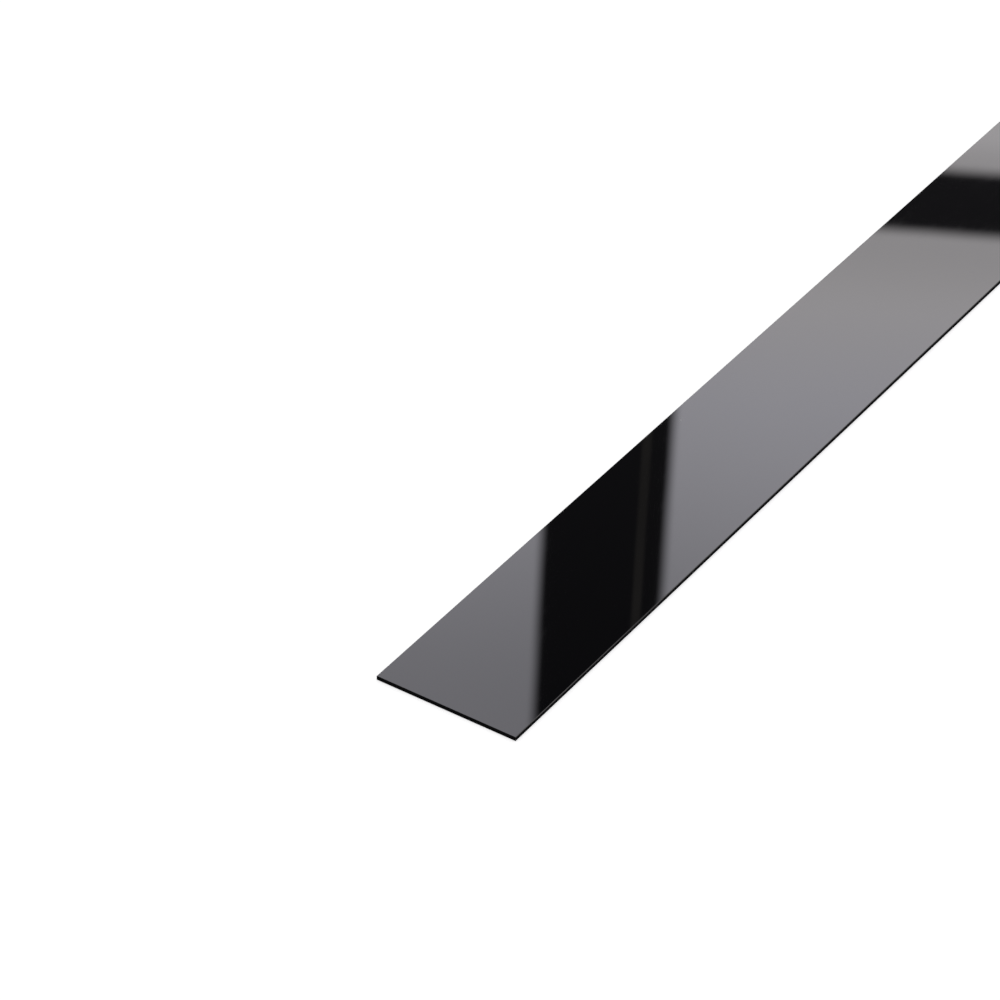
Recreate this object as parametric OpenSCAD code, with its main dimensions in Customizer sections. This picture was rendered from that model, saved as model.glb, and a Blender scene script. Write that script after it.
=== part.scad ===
// Self-adhesive kick plate for the foot of a door.
//
// It lies face up, as it is handed over before fitting. Millimetres.
//   +X runs along the plate, across the door once it is fitted
//   +Y runs up the door
//   +Z points out of the door, from the adhesive back to the glossy face
// The origin is the middle of the back, on the surface that the release liners lie on.

/* [Face plate] */
// Length of the plate, across the door
plate_length = 838; // [300:1:1200]
// Height of the plate, up the door
plate_height = 100; // [90:1:400]
// Thickness of the acrylic sheet
plate_thickness = 3; // [2:0.5:6]
// Leg of the polished 45 degree bevel on the front arris of both long edges
front_bevel = 0.3; // [0.1:0.05:1]
// Leg of the deburring bevel on the back arris of both long edges
back_bevel = 0.2; // [0.1:0.05:0.5]

/* [Mounting tape] */
// Width of one strip of double-sided tape
tape_width = 25; // [10:1:25]
// Thickness of the tape
tape_thickness = 0.13; // [0.05:0.01:1.2]
// Bare margin from the plate's long edge to the outer strips
tape_edge_margin = 5; // [2:0.5:6]
// Bare margin from the plate's ends to the ends of the strips
tape_end_margin = 5; // [2:0.5:30]

/* [Release liner] */
// Thickness of the film on the tape
liner_thickness = 0.05; // [0.03:0.01:0.2]

/* [Hidden] */
tape_length = plate_length - 2 * tape_end_margin;
// Height of the upper strip's centreline above the plate's own; the lower strip mirrors it
outer_strip_offset = plate_height / 2 - tape_edge_margin - tape_width / 2;
// Levels of the stack, from the surface that the plate lies on
tape_base = liner_thickness;
plate_base = liner_thickness + tape_thickness;

// Cross-section of the sheet, with X up the door and Y out of it. Both arrises of each long edge
// are bevelled: the front one for looks, the back one only to take the saw's burr off.
module plate_section() {
    half = plate_height / 2;
    polygon([
        [-half + back_bevel, 0],
        [half - back_bevel, 0],
        [half, back_bevel],
        [half, plate_thickness - front_bevel],
        [half - front_bevel, plate_thickness],
        [-half + front_bevel, plate_thickness],
        [-half, plate_thickness - front_bevel],
        [-half, back_bevel],
    ]);
}

// The sheet itself. Its long edges are bevelled and polished; its ends are cut square.
module face_plate() {
    color([0.02, 0.02, 0.022])
        translate([-plate_length / 2, 0, plate_base])
            rotate([90, 0, 90])
                linear_extrude(height = plate_length)
                    plate_section();
}

// A flat strip along the back of the plate, standing on the level base.
module back_strip(offset_up, base, thickness) {
    translate([-tape_length / 2, offset_up - tape_width / 2, base])
        cube([tape_length, tape_width, thickness]);
}

module tape_strip(offset_up) {
    color([0.86, 0.87, 0.84])
        back_strip(offset_up, tape_base, tape_thickness);
}

module release_liner(offset_up) {
    color([0.72, 0.06, 0.05])
        back_strip(offset_up, 0, liner_thickness);
}

face_plate();
tape_strip(outer_strip_offset);  // tape_strip_upper
tape_strip(0);  // tape_strip_middle
tape_strip(-outer_strip_offset);  // tape_strip_lower
release_liner(outer_strip_offset);  // release_liner_upper
release_liner(0);  // release_liner_middle
release_liner(-outer_strip_offset);  // release_liner_lower
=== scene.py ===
import math

import bmesh
import bpy
from mathutils import Matrix, Vector


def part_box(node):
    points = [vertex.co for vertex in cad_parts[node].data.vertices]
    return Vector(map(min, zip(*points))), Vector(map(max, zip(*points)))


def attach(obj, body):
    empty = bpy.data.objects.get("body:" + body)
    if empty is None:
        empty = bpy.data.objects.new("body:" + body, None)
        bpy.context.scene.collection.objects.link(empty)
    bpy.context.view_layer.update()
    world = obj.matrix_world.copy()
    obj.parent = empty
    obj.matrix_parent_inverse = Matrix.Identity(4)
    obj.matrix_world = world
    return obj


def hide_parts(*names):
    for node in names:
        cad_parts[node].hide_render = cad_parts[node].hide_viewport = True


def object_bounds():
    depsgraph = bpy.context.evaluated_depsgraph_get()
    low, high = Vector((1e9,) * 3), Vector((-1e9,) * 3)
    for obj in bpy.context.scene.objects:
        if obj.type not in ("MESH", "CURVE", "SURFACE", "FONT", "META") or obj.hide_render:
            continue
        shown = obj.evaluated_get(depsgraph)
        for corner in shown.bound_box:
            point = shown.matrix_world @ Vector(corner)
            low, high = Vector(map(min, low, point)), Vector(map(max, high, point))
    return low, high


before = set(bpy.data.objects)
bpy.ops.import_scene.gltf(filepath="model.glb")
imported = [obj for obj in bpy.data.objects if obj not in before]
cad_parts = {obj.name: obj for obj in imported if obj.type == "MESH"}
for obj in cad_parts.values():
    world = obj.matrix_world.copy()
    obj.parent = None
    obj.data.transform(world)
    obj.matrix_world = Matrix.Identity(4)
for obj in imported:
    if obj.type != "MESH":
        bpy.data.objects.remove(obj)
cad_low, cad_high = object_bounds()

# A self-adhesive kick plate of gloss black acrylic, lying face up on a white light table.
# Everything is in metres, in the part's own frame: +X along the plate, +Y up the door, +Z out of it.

MM = 0.001

# ---- Camera ----
LENS = 146.74           # mm, on a 36 mm sensor
CAMERA_HEADING = 34.5   # degrees, from +X towards +Y
CAMERA_PITCH = 36.773   # degrees below the horizon
# From the foot of the plate's near corner (-X, -Y) to the camera, in plate heights
CAMERA_OFFSET = Vector((-15.042, -10.227, 15.351))

# ---- Studio ----
FLOOR_SIZE = 60.0
FLOOR_DROP = 0.1 * MM   # keeps the floor clear of the liners that lie on it
OVERHEAD_ENERGY = 1.32  # W/m2 on the floor
OVERHEAD_SPREAD = 110   # degrees, the width of the overhead scrim
TABLE_GLOW = 0.60       # radiance of the light table itself, which all but drowns the shadows

# One light wall is four softboxes in a 2 by 2 grid. Its centre is where the two dark gaps cross.
PANEL_WIDTH = 1.9
UPPER_PANEL_HEIGHT = 2.3
LOWER_PANEL_HEIGHT = 1.85
UPRIGHT_GAP = 0.239     # between the left and right softboxes
LEVEL_GAP = 0.134       # between the upper and lower softboxes
UPRIGHT_RIM = 0.030     # width over which a softbox fades out at its left and right edges
LEVEL_RIM = 0.036       # the same at its top and bottom edges
LEVEL_FALL = 0.86       # glow of a softbox just inside its top and bottom rims, against its middle
UPRIGHT_FALL = 0.98     # the same inside its left and right rims
UPPER_FALL_REACH = 0.20    # how far in from its edges an upper softbox is weaker
LOWER_FALL_REACH = 0.08
GAP_STRIP_SHIFT = 0.071    # to the right of the upright gap's middle
GAP_STRIP_WIDTH = 0.017
GAP_STRIP_COLOUR = (1.0, 0.94, 0.90)
GAP_STRIP_GLOW = (0.13, 0.17)    # radiance of its dimmest and brightest patches
# Radiance of the softboxes against height: weak near the floor, full in the middle, weaker high up
PANEL_LOW = 0.35
PANEL_FULL = 3.84
PANEL_HIGH = 2.52
LOW_UP_TO = 1.0
FULL_FROM = 2.1
FULL_UP_TO = 2.78
HIGH_FROM = 3.65
# Their colour also changes a little with height
WARM_GLOW = (1.02, 0.985, 1.01)
COOL_GLOW = (0.98, 0.965, 1.05)
WARM_UP_TO = 2.55
COOL_FROM = 2.9

# Per wall: heading from the plate, distance, height of its centre, turn from facing the plate
# squarely, roll, and brightness against the key wall. Angles are in degrees.
WALLS = {
    "key": (34.25, 4.0, 2.3795, -4.9, 1.77, 1.0),
    "front": (-60.0, 4.0, 2.375, 0.0, 0.0, 0.65),
    "left": (128.0, 4.2, 2.375, 0.0, 0.0, 0.4),
    "back": (214.0, 4.4, 2.375, 0.0, 0.0, 0.4),
}
CEILING_HEIGHT = 4.6
CEILING_TURN = 28.0        # degrees
CEILING_CENTRE = (0.3, 0.0)
CEILING_BRIGHTNESS = 1.4
# What the plate mirrors of the room itself, between and beyond the softboxes
ROOM_COLOUR = (0.94, 0.91, 1.0)
ROOM_AT_HORIZON = 0.32
ROOM_OVERHEAD = 0.05
ROOM_BELOW = 0.03

# ---- Plate ----
SOFT_CORNER = 0.04 * MM    # the sharp corners are broken by this much
SAW_PITCH = 0.5 * MM       # spacing of the columns that carry the saw marks
SAW_DEPTH = 0.03 * MM
ACRYLIC_IOR = 1.49
ACRYLIC_BLACK = (0.0009, 0.0009, 0.0013)
CLEAN_ROUGHNESS = 0.014
WIPED_ROUGHNESS = 0.022
DUST_GREY = (0.85, 0.85, 0.83)
DUST_ROUGHNESS = 0.6
SPECK_SIZE = 0.8 * MM
SPECKS = [(-97, 41), (374, -31), (396, 18)]    # mm from the middle of the face

# ---- Tape and liners ----
STRIP_STATIONS = 60        # pieces that a strip is divided into along its length
SLIT_WANDER = 0.06 * MM    # how far the slit edges of the tape wander inwards
# How far each hand-cut end leans, start and end of the strip
CUT_LEAN = {
    "upper": (0.5 * MM, 0.9 * MM),
    "middle": (0.8 * MM, 0.3 * MM),
    "lower": (0.4 * MM, 0.7 * MM),
}
EMBOSS_PITCH = 1.6 * MM    # spacing of the liner's diamond mesh
BAND_SPACING = 0.314       # spacing in metres of the wave texture's bands at a scale of 1


# ---------------------------------------------------------------- node helpers

class Tree:
    """Adds nodes to a shader tree. A socket's value is a constant or another node's output."""

    def __init__(self, owner):
        owner.use_nodes = True
        self.tree = owner.node_tree
        self.tree.nodes.clear()

    def add(self, kind, sockets=None, **settings):
        node = self.tree.nodes.new("ShaderNode" + kind)
        for key, value in settings.items():
            setattr(node, key, value)
        for key, value in (sockets or {}).items():
            if isinstance(value, bpy.types.NodeSocket):
                self.tree.links.new(value, node.inputs[key])
            else:
                node.inputs[key].default_value = value
        return node

    def maths(self, operation, a, b):
        return self.add("Math", {0: a, 1: b}, operation=operation).outputs[0]

    def smooth(self, value, low, high, to_low=0.0, to_high=1.0):
        sockets = {"Value": value, "From Min": low, "From Max": high,
                   "To Min": to_low, "To Max": to_high}
        return self.add("MapRange", sockets, interpolation_type="SMOOTHSTEP").outputs["Result"]

    def place(self, scale=(1, 1, 1)):
        """The point on the piece, in metres, stretched by scale."""
        coordinates = self.add("TexCoord").outputs["Object"]
        return self.add("Mapping", {"Vector": coordinates, "Scale": scale}).outputs[0]

    def noise(self, scale, stretch=(1, 1, 1), detail=2.0, roughness=0.5):
        sockets = {"Vector": self.place(stretch), "Scale": scale,
                   "Detail": detail, "Roughness": roughness}
        return self.add("TexNoise", sockets).outputs["Fac"]

    def bump(self, height, distance, normal=None):
        sockets = {"Height": height, "Distance": distance, "Strength": 1.0}
        if normal is not None:
            sockets["Normal"] = normal
        return self.add("Bump", sockets).outputs["Normal"]

    def colours(self, factor, first, second):
        mix = self.add("Mix", {"Factor": factor}, data_type="RGBA")
        mix.inputs["A"].default_value = (*first, 1)
        mix.inputs["B"].default_value = (*second, 1)
        return mix.outputs["Result"]

    def attribute(self, name):
        return self.add("Attribute", attribute_name=name).outputs["Fac"]

    def rimmed(self, colour, strength):
        """A glow that fades out over the rim of its panel, until the room behind shows."""
        across = self.smooth(self.attribute("rim_across"), 0.0, 1.0)
        upright = self.smooth(self.attribute("rim_upright"), 0.0, 1.0)
        glow = self.add("Emission", {"Color": colour, "Strength": strength})
        clear = self.add("BsdfTransparent")
        inside = self.maths("MULTIPLY", across, upright)
        return self.add("MixShader", {0: inside, 1: clear.outputs[0], 2: glow.outputs[0]})

    def surface(self, shader):
        output = self.add("OutputMaterial")
        self.tree.links.new(shader.outputs[0], output.inputs["Surface"])


# ---------------------------------------------------------------- materials

def dust(tree):
    """1 on the specks of dust that lie on the face, and 0 elsewhere."""
    place = tree.place()
    covered = 0.0
    for x, y in SPECKS:
        centre = (x * MM, y * MM, cad_high.z)
        away = tree.add("VectorMath", {0: place, 1: centre}, operation="DISTANCE").outputs["Value"]
        near = tree.smooth(away, 0.5 * SPECK_SIZE, 0.25 * SPECK_SIZE)
        covered = tree.maths("MAXIMUM", covered, near)
    return covered


def acrylic_face():
    """Mirror-gloss cast face: a faint long ripple, faint wipe marks and a few specks of dust."""
    material = bpy.data.materials.new("acrylic_face")
    tree = Tree(material)
    specks = dust(tree)
    smears = tree.noise(26, (1, 5, 1), 5.0, 0.62)
    wiped = tree.smooth(smears, 0.45, 0.75, CLEAN_ROUGHNESS, WIPED_ROUGHNESS)
    roughness = tree.maths("MAXIMUM", wiped, tree.maths("MULTIPLY", specks, DUST_ROUGHNESS))
    ripple = tree.bump(tree.noise(8.0, (1, 1.6, 1), 1.0), 0.012 * MM)
    shader = tree.add("BsdfPrincipled", {
        "Base Color": tree.colours(specks, ACRYLIC_BLACK, DUST_GREY),
        "Roughness": roughness,
        "IOR": ACRYLIC_IOR,
        "Normal": ripple,
    })
    tree.surface(shader)
    return material


def acrylic_edge():
    """Polished long edge: fine lines run along it from the polishing wheel."""
    material = bpy.data.materials.new("acrylic_edge")
    tree = Tree(material)
    lines = tree.noise(900, (0.02, 1, 1), 3.0, 0.6)
    shader = tree.add("BsdfPrincipled", {
        "Base Color": tree.colours(lines, (0.0012, 0.0012, 0.0013), (0.003, 0.003, 0.003)),
        "Roughness": tree.smooth(lines, 0.35, 0.75, 0.07, 0.16),
        "IOR": ACRYLIC_IOR,
        "Normal": tree.bump(lines, 0.004 * MM),
    })
    tree.surface(shader)
    return material


def acrylic_end():
    """Saw-cut end: a duller black with the blade's marks standing across it."""
    material = bpy.data.materials.new("acrylic_end")
    tree = Tree(material)
    marks = tree.noise(1600, (1, 1, 0.12), 3.0, 0.65)
    haze = tree.noise(120, (1, 1, 1), 2.0, 0.5)
    shader = tree.add("BsdfPrincipled", {
        "Base Color": tree.colours(haze, (0.001, 0.001, 0.001), (0.003, 0.003, 0.003)),
        "Roughness": tree.smooth(marks, 0.3, 0.7, 0.3, 0.5),
        "IOR": ACRYLIC_IOR,
        "Normal": tree.bump(marks, 0.02 * MM),
    })
    tree.surface(shader)
    return material


def acrylic_back():
    """Back of the sheet: gloss, but scuffed by handling before the tape went on."""
    material = bpy.data.materials.new("acrylic_back")
    tree = Tree(material)
    scuffs = tree.noise(40, (1, 12, 1), 6.0, 0.7)
    shader = tree.add("BsdfPrincipled", {
        "Base Color": tree.colours(scuffs, (0.0015, 0.0015, 0.0016), (0.004, 0.004, 0.004)),
        "Roughness": tree.smooth(scuffs, 0.4, 0.7, 0.06, 0.2),
        "IOR": ACRYLIC_IOR,
        "Normal": tree.bump(scuffs, 0.006 * MM),
    })
    tree.surface(shader)
    return material


def tape_material():
    """Milky double-sided film tape, with the fine mottle of its adhesive."""
    material = bpy.data.materials.new("tape_film")
    tree = Tree(material)
    mottle = tree.noise(450, (1, 1, 1), 4.0, 0.6)
    shader = tree.add("BsdfPrincipled", {
        "Base Color": tree.colours(mottle, (0.70, 0.71, 0.67), (0.84, 0.85, 0.82)),
        "Roughness": tree.smooth(mottle, 0.3, 0.7, 0.45, 0.7),
        "IOR": 1.47,
        "Normal": tree.bump(mottle, 0.01 * MM),
    })
    tree.surface(shader)
    return material


def liner_material():
    """Red polyester liner, embossed with a fine diamond mesh and creased here and there."""
    material = bpy.data.materials.new("liner_polyester")
    tree = Tree(material)
    waves = []
    for lean in (45, -45):
        turned = tree.add("Mapping", {"Vector": tree.place(),
                                      "Rotation": (0, 0, math.radians(lean))}).outputs[0]
        sockets = {"Vector": turned, "Scale": BAND_SPACING / EMBOSS_PITCH, "Distortion": 0.0}
        waves.append(tree.add("TexWave", sockets, wave_type="BANDS").outputs["Fac"])
    diamonds = tree.maths("MAXIMUM", *waves)
    ridges = tree.smooth(diamonds, 0.8, 1.0)
    creases = tree.noise(14, (1, 3, 1), 3.0, 0.55)
    creased = tree.bump(creases, 0.25 * MM)
    shader = tree.add("BsdfPrincipled", {
        "Base Color": tree.colours(ridges, (0.50, 0.024, 0.018), (0.62, 0.06, 0.045)),
        "Roughness": tree.smooth(creases, 0.35, 0.7, 0.22, 0.4),
        "IOR": 1.57,
        "Normal": tree.bump(ridges, 0.03 * MM, creased),
    })
    tree.surface(shader)
    return material


# ---------------------------------------------------------------- pieces

def add_object(name, mesh, materials):
    piece = bpy.data.objects.new(name, mesh)
    bpy.context.scene.collection.objects.link(piece)
    for material in materials:
        mesh.materials.append(material)
    return piece


def belongs(piece, node):
    """The piece stands for that CAD node, which it hides, and rides with the plate."""
    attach(piece, "root")
    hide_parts(node)


def saw_mark(y, z):
    """Depth of the saw's marks on an end face: three rhythms of the blade, slightly slanted."""
    along = (y + 0.15 * z) / MM
    rhythm = math.sin(2.1 * along) + 0.6 * math.sin(0.73 * along + 1.1) + 0.5 * math.sin(5.3 * along)
    return SAW_DEPTH * (0.5 + rhythm / 4.2)


def plate_material_index(normal):
    """0 face, 1 long edge, 2 saw-cut end, 3 back."""
    if abs(normal.x) > 0.3:
        return 2
    if normal.z > 0.95:
        return 0
    return 3 if normal.z < -0.95 else 1


def point_place(vertex):
    return tuple(vertex.co)


def face_place(face):
    return sorted(tuple(vertex.co) for vertex in face.verts)


def sort_by_place(shape):
    """Puts the shape's points and faces in an order that is the same in every run."""
    for elements, place in ((shape.verts, point_place), (shape.faces, face_place)):
        ordered = sorted(elements, key=place)
        rank = {element: number for number, element in enumerate(ordered)}
        elements.sort(key=rank.get)


def make_plate():
    """The sheet, from the CAD node's own mesh: corners softened and saw marks cut into its ends."""
    low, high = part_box("face_plate")
    shape = bmesh.new()
    shape.from_mesh(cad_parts["face_plate"].data)
    bmesh.ops.remove_doubles(shape, verts=shape.verts, dist=0.001 * MM)
    bmesh.ops.dissolve_limit(shape, angle_limit=math.radians(1), verts=shape.verts, edges=shape.edges)
    bmesh.ops.bevel(shape, geom=shape.edges, offset=SOFT_CORNER, segments=2, profile=0.5, affect="EDGES")
    columns = round((high.y - low.y) / SAW_PITCH)
    for column in range(1, columns):
        cut = (0, low.y + column * SAW_PITCH, 0)
        geometry = list(shape.verts) + list(shape.edges) + list(shape.faces)
        bmesh.ops.bisect_plane(shape, geom=geometry, plane_co=cut, plane_no=(0, 1, 0))
    for vertex in shape.verts:
        end = high.x if vertex.co.x > 0 else low.x
        if abs(vertex.co.x - end) < 2 * SOFT_CORNER:
            vertex.co.x -= math.copysign(saw_mark(vertex.co.y, vertex.co.z), end)
    shape.normal_update()
    for face in shape.faces:
        face.material_index = plate_material_index(face.normal)
    sort_by_place(shape)
    mesh = bpy.data.meshes.new("kick_plate_sheet")
    shape.to_mesh(mesh)
    shape.free()
    materials = [acrylic_face(), acrylic_edge(), acrylic_end(), acrylic_back()]
    piece = add_object("kick_plate_sheet", mesh, materials)
    belongs(piece, "face_plate")


def strip_mesh(name, low, high, leans):
    """A thin strip with slit edges that wander slightly and ends cut by hand, a little askew."""
    half_width = (high.y - low.y) / 2
    middle = (high.y + low.y) / 2
    rings = []
    shape = bmesh.new()
    for station in range(STRIP_STATIONS + 1):
        share = station / STRIP_STATIONS
        ring = []
        for side in (-1, 1):
            start = low.x + leans[0] * (1 + side) / 2
            end = high.x - leans[1] * (1 - side) / 2
            x = start + share * (end - start)
            wander = SLIT_WANDER * (0.5 + 0.5 * math.sin(31 * x + 2 * side + 9 * middle / 0.1))
            y = middle + side * (half_width - wander)
            levels = (low.z, high.z) if side < 0 else (high.z, low.z)
            ring += [shape.verts.new((x, y, level)) for level in levels]
        rings.append(ring)
    for before, after in zip(rings, rings[1:]):
        for corner in range(4):
            following = (corner + 1) % 4
            shape.faces.new((before[corner], before[following], after[following], after[corner]))
    shape.faces.new(rings[0][::-1])
    shape.faces.new(rings[-1])
    bmesh.ops.recalc_face_normals(shape, faces=shape.faces)
    mesh = bpy.data.meshes.new(name)
    shape.to_mesh(mesh)
    shape.free()
    return mesh


def make_strips():
    """The tapes on the back and the liners on them. Each pair is cut off the roll in one go."""
    tape = tape_material()
    liner = liner_material()
    for row, leans in CUT_LEAN.items():
        for kind, slot, material in (("tape_strip", "mounting_tape", tape),
                                     ("release_liner", "liner_film", liner)):
            node = f"{kind}_{row}"
            name = f"{kind}_{row}_cut"
            piece = add_object(name, strip_mesh(name, *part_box(node), leans), [material])
            belongs(piece, node)


# ---------------------------------------------------------------- studio

def make_camera():
    low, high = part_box("face_plate")
    plate_height = high.y - low.y
    near_corner = Vector((low.x, low.y, cad_low.z))
    heading = math.radians(CAMERA_HEADING)
    pitch = math.radians(CAMERA_PITCH)
    level = Vector((math.cos(heading), math.sin(heading), 0))
    look = level * math.cos(pitch) - Vector((0, 0, math.sin(pitch)))
    data = bpy.data.cameras.new("camera")
    data.lens = LENS
    data.sensor_width = 36
    data.clip_end = 100
    camera = bpy.data.objects.new("camera", data)
    bpy.context.scene.collection.objects.link(camera)
    camera.location = near_corner + plate_height * CAMERA_OFFSET
    camera.rotation_euler = look.to_track_quat("-Z", "Y").to_euler()
    bpy.context.scene.camera = camera


def floor_material():
    """White light table, faintly uneven. It's clear from below, so the back of the plate shows."""
    material = bpy.data.materials.new("light_table")
    tree = Tree(material)
    uneven = tree.noise(1.5, (1, 1, 1), 3.0, 0.5)
    white = tree.add("BsdfDiffuse", {
        "Color": tree.colours(uneven, (0.90, 0.90, 0.90), (0.93, 0.93, 0.93)),
    })
    glow = tree.add("Emission", {"Color": (1, 1, 1, 1), "Strength": TABLE_GLOW})
    table = tree.add("AddShader", {0: white.outputs[0], 1: glow.outputs[0]})
    clear = tree.add("BsdfTransparent")
    below = tree.add("NewGeometry").outputs["Backfacing"]
    sides = tree.add("MixShader", {0: below, 1: table.outputs[0], 2: clear.outputs[0]})
    tree.surface(sides)
    material.cycles.emission_sampling = "NONE"    # it's far too wide to be worth aiming at
    return material


def make_floor():
    mesh = bpy.data.meshes.new("floor")
    half = FLOOR_SIZE / 2
    level = cad_low.z - FLOOR_DROP
    corners = [(-half, -half, level), (half, -half, level), (half, half, level), (-half, half, level)]
    mesh.from_pydata(corners, [], [(0, 1, 2, 3)])
    floor = add_object("floor", mesh, [floor_material()])
    floor.visible_glossy = False    # the edges of the plate mirror a dark room, not the table


def make_overhead():
    """A broad scrim straight above."""
    light = bpy.data.lights.new("overhead", "SUN")
    light.energy = OVERHEAD_ENERGY
    light.angle = math.radians(OVERHEAD_SPREAD)
    overhead = bpy.data.objects.new("overhead", light)
    bpy.context.scene.collection.objects.link(overhead)
    overhead.visible_glossy = False


def make_world():
    """Pale to the camera. What the plate mirrors is a dim room, lightest just above the horizon."""
    world = bpy.data.worlds.new("room")
    bpy.context.scene.world = world
    tree = Tree(world)
    direction = tree.add("TexCoord").outputs["Generated"]
    upward = tree.add("SeparateXYZ", {0: direction}).outputs["Z"]
    upper_room = tree.smooth(upward, 0.05, 0.68, ROOM_AT_HORIZON, ROOM_OVERHEAD)
    above = tree.smooth(upward, 0.0, 0.03)
    halves = {"Factor": above, "A": ROOM_BELOW, "B": upper_room}
    room = tree.add("Mix", halves, data_type="FLOAT").outputs[0]
    mirrored = tree.add("Background", {"Color": (*ROOM_COLOUR, 1), "Strength": room})
    seen = tree.add("Background", {"Color": (1, 1, 1, 1), "Strength": 1.0})
    to_camera = tree.add("LightPath").outputs["Is Camera Ray"]
    mix = tree.add("MixShader", {0: to_camera, 1: mirrored.outputs[0], 2: seen.outputs[0]})
    output = tree.add("OutputWorld")
    tree.tree.links.new(mix.outputs[0], output.inputs["Surface"])


def softbox_material(brightness):
    """Glow of a softbox: weaker near its top and bottom, and fading into the room over its rim."""
    material = bpy.data.materials.new("softbox")
    tree = Tree(material)
    across = tree.smooth(tree.attribute("fall_across"), 0.0, 1.0, UPRIGHT_FALL, 1.0)
    upright = tree.smooth(tree.attribute("fall_upright"), 0.0, 1.0, LEVEL_FALL, 1.0)
    fall = tree.maths("MULTIPLY", across, upright)
    height = tree.add("SeparateXYZ", {0: tree.add("NewGeometry").outputs["Position"]}).outputs["Z"]
    rise = tree.smooth(height, LOW_UP_TO, FULL_FROM, PANEL_LOW, PANEL_FULL)
    droop = tree.smooth(height, FULL_UP_TO, HIGH_FROM, brightness, brightness * PANEL_HIGH / PANEL_FULL)
    strength = tree.maths("MULTIPLY", fall, tree.maths("MULTIPLY", rise, droop))
    colour = tree.colours(tree.smooth(height, WARM_UP_TO, COOL_FROM), WARM_GLOW, COOL_GLOW)
    tree.surface(tree.rimmed(colour, strength))
    return material


def gap_strip_material():
    """Glow of the dim strip, a little patchy along its height."""
    material = bpy.data.materials.new("gap_strip")
    tree = Tree(material)
    patches = tree.noise(3.0)
    strength = tree.smooth(patches, 0.3, 0.7, *GAP_STRIP_GLOW)
    tree.surface(tree.rimmed((*GAP_STRIP_COLOUR, 1), strength))
    return material


def panel_stops(low, high, rim, reach):
    """The six lines of a panel's mesh along one axis: its rims, and how far its falloff reaches."""
    return [low - rim / 2, low + rim / 2, low + reach, high - reach, high - rim / 2, high + rim / 2]


def panel(name, matrix, across, upright, rims, reaches, material):
    """A flat glowing panel in the wall's own plane, with the attributes that its material reads."""
    columns = panel_stops(*across, rims[0], reaches[0])
    rows = panel_stops(*upright, rims[1], reaches[1])
    corners = [(x, y, 0) for y in rows for x in columns]
    faces = [(6 * j + i, 6 * j + i + 1, 6 * j + i + 7, 6 * j + i + 6) for j in range(5) for i in range(5)]
    mesh = bpy.data.meshes.new(name)
    mesh.from_pydata(corners, [], faces)
    rim = (0.0, 1.0, 1.0, 1.0, 1.0, 0.0)
    fall = (0.0, 0.0, 1.0, 1.0, 0.0, 0.0)
    values = {
        "rim_across": [value for row in rows for value in rim],
        "rim_upright": [value for value in rim for column in columns],
        "fall_across": [value for row in rows for value in fall],
        "fall_upright": [value for value in fall for column in columns],
    }
    for attribute, numbers in values.items():
        mesh.attributes.new(attribute, "FLOAT", "POINT").data.foreach_set("value", numbers)
    piece = add_object(name, mesh, [material])
    piece.matrix_world = matrix
    piece.visible_camera = False
    piece.visible_diffuse = False
    piece.visible_shadow = False


def wall_matrix(heading, distance, height, turn, roll):
    """Places a wall's own plane: X to the right as the plate sees it, Y up and Z towards the plate."""
    away = math.radians(heading)
    centre = Vector((distance * math.cos(away), distance * math.sin(away), height))
    facing = math.radians(heading + turn)
    right = Vector((math.sin(facing), -math.cos(facing), 0))
    towards = Vector((-math.cos(facing), -math.sin(facing), 0))
    upright = Matrix((right, Vector((0, 0, 1)), towards)).transposed()
    return Matrix.Translation(centre) @ upright.to_4x4() @ Matrix.Rotation(math.radians(roll), 4, "Z")


def softbox_grid(name, matrix, brightness):
    """Four softboxes with an upright gap and a level gap between them."""
    glow = softbox_material(brightness)
    levels = {
        "upper": (LEVEL_GAP / 2, LEVEL_GAP / 2 + UPPER_PANEL_HEIGHT),
        "lower": (-LEVEL_GAP / 2 - LOWER_PANEL_HEIGHT, -LEVEL_GAP / 2),
    }
    sides = {
        "left": (-UPRIGHT_GAP / 2 - PANEL_WIDTH, -UPRIGHT_GAP / 2),
        "right": (UPRIGHT_GAP / 2, UPRIGHT_GAP / 2 + PANEL_WIDTH),
    }
    rims = (UPRIGHT_RIM, LEVEL_RIM)
    for level, upright in levels.items():
        reach = UPPER_FALL_REACH if level == "upper" else LOWER_FALL_REACH
        for side, across in sides.items():
            panel(f"softbox_{name}_{level}_{side}", matrix, across, upright, rims, (reach, reach), glow)


def make_walls():
    for name, (*place, brightness) in WALLS.items():
        softbox_grid(name, wall_matrix(*place), brightness)


def make_gap_strip():
    """A dim strip of the key wall that shows through its upright gap."""
    across = (GAP_STRIP_SHIFT - GAP_STRIP_WIDTH / 2, GAP_STRIP_SHIFT + GAP_STRIP_WIDTH / 2)
    upright = (LEVEL_GAP, UPPER_PANEL_HEIGHT)
    rims = (GAP_STRIP_WIDTH / 2, LEVEL_RIM)
    reaches = (0.4 * GAP_STRIP_WIDTH, LEVEL_RIM)
    matrix = wall_matrix(*WALLS["key"][:-1])
    panel("gap_strip", matrix, across, upright, rims, reaches, gap_strip_material())


def make_ceiling():
    """Four more softboxes overhead, facing down, for the plate to mirror when seen from above."""
    turn = Matrix.Rotation(math.radians(CEILING_TURN), 4, "Z") @ Matrix.Rotation(math.pi, 4, "X")
    place = Matrix.Translation((*CEILING_CENTRE, CEILING_HEIGHT))
    softbox_grid("ceiling", place @ turn, CEILING_BRIGHTNESS)


make_camera()
make_plate()
make_strips()
make_floor()
make_overhead()
make_world()
make_walls()
make_gap_strip()
make_ceiling()
bpy.context.scene.view_settings.view_transform = "Standard"
